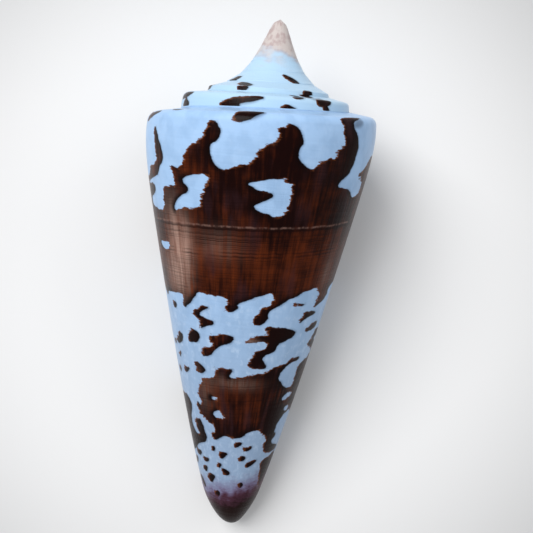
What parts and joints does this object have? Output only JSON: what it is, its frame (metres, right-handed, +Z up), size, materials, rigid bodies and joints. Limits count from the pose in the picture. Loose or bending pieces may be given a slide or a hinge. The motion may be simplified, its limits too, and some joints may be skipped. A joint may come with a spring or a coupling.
{
  "type": "cone shell",
  "caption": "Tapering cone-shaped sea shell with a low stepped spire, a pointed apex and a long narrow slit opening, lying on its slit side.",
  "frame": {"origin": "on the surface that the shell lies on, under the middle of its outline", "axes": "+Y along the shell towards the apex, +Z up away from the surface, +X to the right seen from above with the apex away"},
  "size_m": [0.0298, 0.0688, 0.0276],
  "materials": {
    "shell": "smooth porcelain-like shell, glossy, bluish white with dark red-brown bands and jagged marks, purple-brown base and a cream apex"
  },
  "bodies": {
    "root": {"shell": "shell"}
  },
  "joints": []
}
